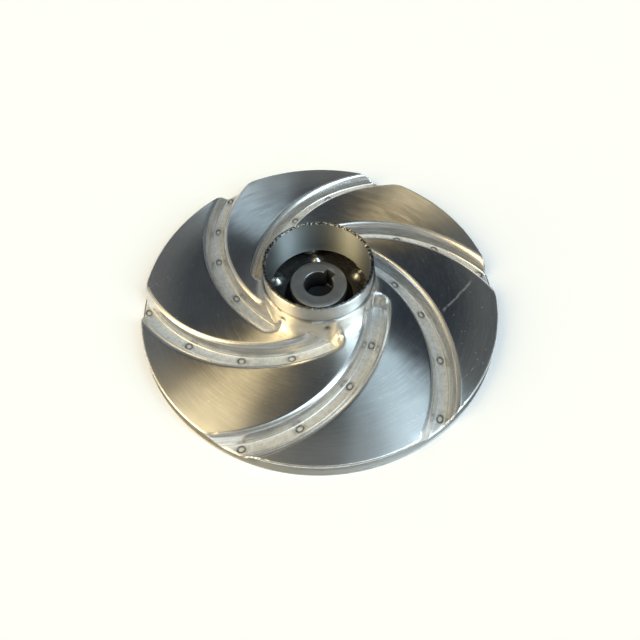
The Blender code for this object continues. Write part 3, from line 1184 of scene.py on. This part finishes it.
def studio_floor():
    """A plain pale floor that glows a little, apart from a spot of painted shade under the bore."""
    start_clean()
    bpy.ops.mesh.primitive_plane_add(size=FLOOR_SIZE, location=(0, 0, 0))
    floor = bpy.context.object
    floor.name = "studio_floor"
    material = bpy.data.materials.new("pale_floor")
    material.use_nodes = True
    tree = material.node_tree
    shader = tree.nodes["Principled BSDF"].inputs
    away = vector_maths(tree, "LENGTH", object_place(tree))
    # painted shade: under the bore the floor is near black and does not glow
    open_floor = ranged(tree, away, BORE_RADIUS + 0.001, BORE_RADIUS + 0.004)
    feed(tree, shader["Base Color"], mixed(tree, open_floor, BORE_SHADE_COLOUR, FLOOR_COLOUR))
    shader["Roughness"].default_value = 0.9
    shader["Specular IOR Level"].default_value = 0.1
    feed(tree, shader["Emission Color"], mixed(tree, open_floor, (0, 0, 0), (1, 1, 1)))
    shader["Emission Strength"].default_value = FLOOR_GLOW
    floor.data.materials.append(material)


def box_mask(tree, place, azimuth, elevation, half_width, half_height, blur):
    """1 inside a blurred box of directions, 0 outside it."""
    turn, rise = radians(azimuth), radians(elevation)
    aim = (cos(rise) * cos(turn), cos(rise) * sin(turn), sin(rise))
    side = (-sin(turn), cos(turn), 0.0)
    above = (-sin(rise) * cos(turn), -sin(rise) * sin(turn), cos(rise))
    ahead, across, upward = (vector_maths(tree, "DOT_PRODUCT", place, axis) for axis in (aim, side, above))
    depth = maths(tree, "MAXIMUM", ahead, 0.05)
    reach = 0.0
    for offset, half in ((across, half_width), (upward, half_height)):
        share = maths(tree, "DIVIDE", offset, times(tree, depth, tan(radians(half))))
        power = maths(tree, "POWER", maths(tree, "ABSOLUTE", share), BOX_SQUARENESS)
        reach = maths(tree, "ADD", reach, power)
    reach = maths(tree, "POWER", reach, 1 / BOX_SQUARENESS)
    return times(tree, ranged(tree, reach, 1 + blur, 1 - blur), maths(tree, "GREATER_THAN", ahead, 0.1))


def room():
    """A dim room with soft boxes, warm at the left and cool at the right; the camera sees a pale backdrop."""
    world = bpy.data.worlds.new("room")
    world.use_nodes = True
    bpy.context.scene.world = world
    bpy.context.scene.view_settings.view_transform = "Standard"
    tree = world.node_tree
    tree.nodes.clear()
    place = add_node(tree, "TexCoord").outputs["Generated"]
    height = split_axes(tree, place)["Z"]
    colour = mixed(tree, ranged(tree, height, 0.12, 0.50), HORIZON_COLOUR, ROOM_COLOUR)
    colour = mixed(tree, box_mask(tree, place, *DARK_CORNER), colour, DARK_CORNER_COLOUR)
    for *box, brightness, tint in SOFT_BOXES:
        glow = times(tree, box_mask(tree, place, *box), brightness)
        colour = vector_maths(tree, "ADD", colour, vector_maths(tree, "SCALE", tint, Scale=glow))
    lit_room = add_node(tree, "Background", {"Color": colour}).outputs[0]
    backdrop = add_node(tree, "Background", {"Color": BACKDROP_COLOUR}).outputs[0]
    seen = add_node(tree, "LightPath").outputs["Is Camera Ray"]
    choice = add_node(tree, "MixShader", {0: seen, 1: lit_room, 2: backdrop}).outputs[0]
    add_node(tree, "OutputWorld", {"Surface": choice})


def camera():
    """The photograph's camera, from the fitted place, tilt, pan and roll."""
    right = Vector((1, 0, 0))
    up = Vector((0, sin(CAMERA_TILT), cos(CAMERA_TILT)))
    back = Vector((0, -cos(CAMERA_TILT), sin(CAMERA_TILT)))
    pan = Matrix.Rotation(-CAMERA_PAN, 3, "Z")
    right, up, back = pan @ right, pan @ up, pan @ back
    c, s = cos(CAMERA_ROLL), sin(CAMERA_ROLL)
    turn = Matrix((c * right - s * up, s * right + c * up, back)).transposed()
    data = bpy.data.cameras.new("camera")
    data.sensor_width = SENSOR
    data.lens = SENSOR * LENS_PIXELS / FRAME_PIXELS
    data.clip_start = 0.005
    view = bpy.data.objects.new("camera", data)
    view.matrix_world = Matrix.Translation(CAMERA_PLACE) @ turn.to_4x4()
    bpy.context.scene.collection.objects.link(view)
    bpy.context.scene.camera = view


def main():
    """The studio, then the four pieces, each with its finish."""
    camera()
    studio_floor()
    room()
    lines = turning_lines()
    scratches = stray_scratches()
    specks = specks_and_stains()
    sheet = front_shroud()
    panel = brushed_panel(lines, scratches, specks)
    channel = pressed_channel(drawing_lines(), scratches, specks)
    dress(sheet, (panel, channel), "shroud_steel", "front_shroud")
    split_finishes(sheet)
    dress(suction_ring(), (turned_ring(lines, specks),), "ring_steel", "neck_ring")
    dress(back_plate(), (rear_sheet(lines, specks),), "plate_steel", "back_plate")
    dress(keyed_hub(), (dull_hub(lines, specks),), "hub_steel", "hub")


main()
